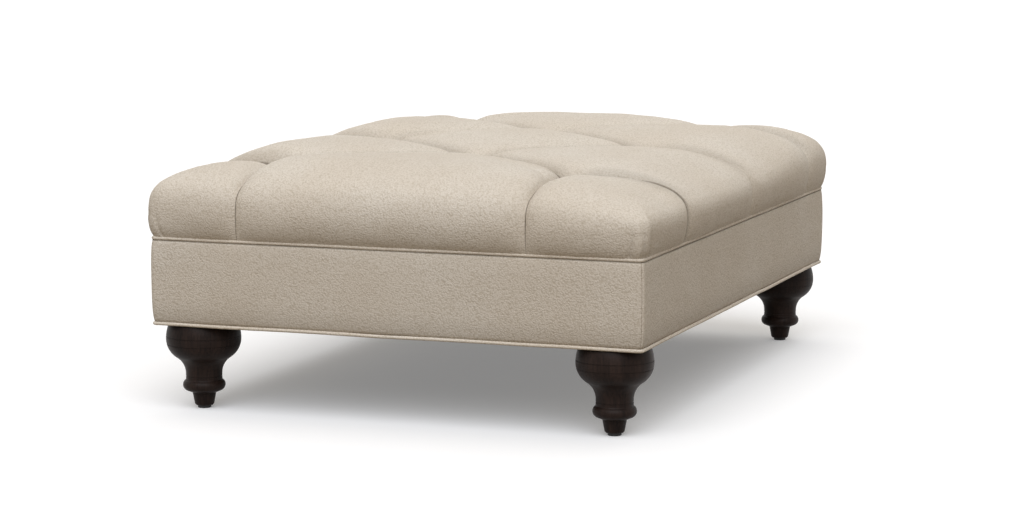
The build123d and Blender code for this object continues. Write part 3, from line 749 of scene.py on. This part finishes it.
def tufted_cushion(finish):
    """The leather cover over its filling, closed below, with soft waves away from its pleats."""
    i, j, m, x, y, z, near, on_pleat = cushion_skin()
    points = np.stack([x, y, z], axis=-1).reshape(-1, 3)
    piece = make_mesh("tufted_cushion", points, skin_faces(i, j), finish)
    mesh = piece.data
    mesh.polygons[len(mesh.polygons) - 1].use_smooth = False
    normals = np.empty(len(points) * 3)
    mesh.vertices.foreach_get("normal", normals)
    calm_reach = 0.03
    calm = 1 - np.exp(-near.reshape(-1) / calm_reach)
    moved = points.copy()
    for k, ((px, py, pz), normal) in enumerate(zip(points, normals.reshape(-1, 3))):
        if m.flat[k] == side_steps:
            continue
        wave = 0.0016 * ripple(px, py, pz, 0.11, 11) + 0.0007 * ripple(px, py, pz, 0.035, 12)
        moved[k] += normal * (wave * calm[k] - corner_dart(px, py, pz))
    moved[:, 2] = np.minimum(moved[:, 2], top_height)
    mesh.vertices.foreach_set("co", moved.reshape(-1))
    creased = on_pleat.reshape(-1)
    for edge in mesh.edges:
        first, second = edge.vertices
        if creased[first] and creased[second]:
            edge.use_edge_sharp = True
    mesh.update()
    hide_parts("tufted_cover", "fibre_wrap", "foam_core")


def tuft_button(name, x, y, finish):
    """A leather-covered button, pulled down into its tuft, with small folds round its edge."""
    around, foot, crown_height = 32, 0.3872, 0.0087
    folds, fold_depth, fold_top, phase = 9, 0.012, 0.004, x * 40
    outline = [
        (0.0096, 0.0), (0.0121, 0.0010), (0.0125, 0.0028), (0.0114, 0.0050), (0.0084, 0.0070),
        (0.0044, 0.0083),
    ]
    points = []
    for radius, height in outline:
        depth = fold_depth if height < fold_top else 0.0
        for step in range(around):
            turn = 2 * math.pi * step / around
            reach = radius * (1 + depth * math.sin(turn * folds + phase))
            points.append((x + reach * math.cos(turn), y + reach * math.sin(turn), foot + height))
    points += [(x, y, foot + crown_height), (x, y, foot)]
    faces = grid_faces(len(outline), around, closed_columns=True)
    crown, sole, last = len(points) - 2, len(points) - 1, (len(outline) - 1) * around
    faces += [(last + s, last + (s + 1) % around, crown) for s in range(around)]
    faces += [((s + 1) % around, s, sole) for s in range(around)]
    piece = make_mesh(f"covered_button_{name}", points, faces, finish)
    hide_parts(f"tuft_button_{name}")


def dust_cloth(finish):
    """The black cloth stapled under the rails, a little slack between them."""
    low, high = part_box("dust_cloth")
    width, length = high[0] - low[0], high[1] - low[1]
    columns, rows = 60, 82
    thickness, gap, sag_depth = 0.0005, 0.00005, 0.0022
    held_across, held_along = 1 / 18, 1 / 24  # how far in from its edges it begins to sag, as shares
    points = []
    for depth in (0.0, thickness):
        for row in range(rows + 1):
            for column in range(columns + 1):
                u, v = column / columns, row / rows
                x, y = low[0] + u * width, low[1] + v * length
                slack = min(1.0, min(u, 1 - u) / held_across) * min(1.0, min(v, 1 - v) / held_along)
                slack *= 0.6 + 0.4 * ripple(x, y, 0, 0.2, 21)
                sag = sag_depth * slack * math.sin(math.pi * u)
                points.append((x, y, high[2] - gap - thickness + depth - sag))
    faces = sheet_faces(rows + 1, columns + 1, flipped=True)
    piece = make_mesh("underside_cloth", points, faces, finish)
    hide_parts("dust_cloth")


# Finishes

leather = leather_finish("putty_leather_finish")
# Painted light and shade: the cushion and welts get lighter copies of the leather and the band a darker
# one
tufted_leather = leather_finish("tufted_leather_finish", tint=1.03, shade=painted_pleat_shade)
band_leather = leather_finish("band_leather_finish", tint=0.96, pebble=0.9, shade=painted_seam_shade)
welt_leather = leather_finish("welt_leather_finish", tint=1.06, pebble=0.5)
stained_wood = stained_wood_finish()
frame_wood = plain_wood_finish("frame_wood_finish", colour(168, 132, 92), colour(206, 174, 130), 60.0)
plywood = plain_wood_finish("plywood_finish", colour(190, 158, 116), colour(220, 192, 150), 40.0)
glide_nylon = moulded_finish("glide_nylon_finish", colour(28, 28, 28))
toggle_plastic = moulded_finish("toggle_plastic_finish", colour(212, 210, 202))
zinc_steel = steel_finish()
black_cloth = cloth_finish("dust_cloth_finish", colour(26, 26, 27), 900.0)
twine = cloth_finish("twine_finish", colour(176, 164, 140), 1400.0)
fibre = cloth_finish("fibre_finish", colour(214, 212, 205), 300.0)

finish_of_slot = {
    "leather": leather,
    "welt_leather": welt_leather,
    "stained_wood": stained_wood,
    "frame_wood": frame_wood,
    "plywood": plywood,
    "glide_nylon": glide_nylon,
    "zinc_steel": zinc_steel,
    "black_cloth": black_cloth,
    "twine": twine,
    "toggle_plastic": toggle_plastic,
    "foam": fibre,
    "fibre": fibre,
}

# Pieces

slots = {part["node"]: part["material_slot"] for part in frame["record"]["subparts"]}
for node, carried in frame["nodes"].items():
    node_finish = finish_of_slot[slots[node]]
    if not carried.data.materials:
        carried.data.materials.append(node_finish)
    for material_slot in carried.material_slots:
        material_slot.material = node_finish

tufted_cushion(tufted_leather)
for side in sides:
    band_panel(side, band_leather)
welt("upper_welt_cord", "upper_welt", top_seam, waviness=0.0006, finish=welt_leather)
welt("lower_welt_cord", "lower_welt", low_seam, waviness=0.0009, finish=welt_leather)
for name, (tuft_x, tuft_y) in tufts.items():
    tuft_button(name, tuft_x, tuft_y, leather)
dust_cloth(black_cloth)


# Studio

floor_reach = 30.0
floor_bounce = (0.26, 0.21, 0.15, 1.0)  # its colour for the light that it throws back
floor_shown = (0.83, 0.83, 0.83, 1.0)
floor_glow = 0.22
ambient_colour = (1.0, 0.92, 0.80, 1.0)
white = (1.0, 1.0, 1.0, 1.0)


def studio_floor():
    """A pale floor: white where the light reaches it, grey under the ottoman, and clear from below."""
    floor = Finish("studio_floor_finish", Roughness=0.9, Specular_IOR_Level=0.0, Emission_Strength=1.0)
    seen = floor.seen()
    floor.feed("Base Color", floor.blend(seen, floor_bounce, floor_shown))
    floor.feed("Emission Color", seen * floor_glow)
    below = floor.node("ShaderNodeNewGeometry", output="Backfacing")
    floor.feed("Alpha", 1.0 - below)
    mesh = bpy.data.meshes.new("studio_floor")
    corners = [(x * floor_reach, y * floor_reach, 0) for x, y in ((-1, -1), (1, -1), (1, 1), (-1, 1))]
    mesh.from_pydata(corners, [], [(0, 1, 2, 3)])
    mesh.materials.append(floor.material)
    piece = bpy.data.objects.new("studio_floor", mesh)
    bpy.context.scene.collection.objects.link(piece)


def studio_world(ambient):
    """Even light from all round, and white to look at."""
    world = bpy.data.worlds.new("studio_world")
    bpy.context.scene.world = world
    world.use_nodes = True
    world.node_tree.nodes.clear()
    sky = Nodes(world.node_tree)
    soft = sky.node("ShaderNodeBackground", None, {"Color": ambient_colour, "Strength": ambient})
    plain = sky.node("ShaderNodeBackground", None, {"Color": white, "Strength": 1.0})
    light = sky.node("ShaderNodeMixShader", None, {0: sky.seen(), 1: soft, 2: plain})
    output = sky.tree.nodes.new("ShaderNodeOutputWorld")
    sky.tree.links.new(light.socket, output.inputs["Surface"])


def soft_lamp(name, direction, spread, strength, tint):
    """Even soft light from one direction, as from a wide softbox."""
    light = bpy.data.lights.new(name, "SUN")
    light.angle, light.energy, light.color = math.radians(spread), strength, tint
    lamp = bpy.data.objects.new(name, light)
    lamp.rotation_euler = Vector(direction).to_track_quat("Z", "Y").to_euler()
    bpy.context.scene.collection.objects.link(lamp)


def photo_camera(place, tilt_down, turn, lens):
    """The camera where the photograph's stands."""
    camera_data = bpy.data.cameras.new("photo_view")
    camera_data.sensor_width, camera_data.lens, camera_data.clip_end = 36.0, lens, 60.0
    camera = bpy.data.objects.new("photo_view", camera_data)
    camera.location = place
    camera.rotation_euler = (math.pi / 2 - tilt_down, 0.0, turn)
    bpy.context.scene.collection.objects.link(camera)
    bpy.context.scene.camera = camera


studio_floor()
studio_world(ambient=0.36)
soft_lamp(
    "overhead_softbox", (-0.12, 0.44, 1.0), spread=54.0, strength=0.68, tint=(0.985, 0.985, 1.0)
)
soft_lamp(
    "front_softbox", (0.27, -1.0, 1.20), spread=60.0, strength=2.27, tint=(0.955, 0.985, 1.05)
)
photo_camera((1.8800, -5.1607, 0.9381), tilt_down=0.129349, turn=0.349305, lens=101.45)
bpy.context.scene.view_settings.view_transform = "Standard"

bpy.context.view_layer.update()
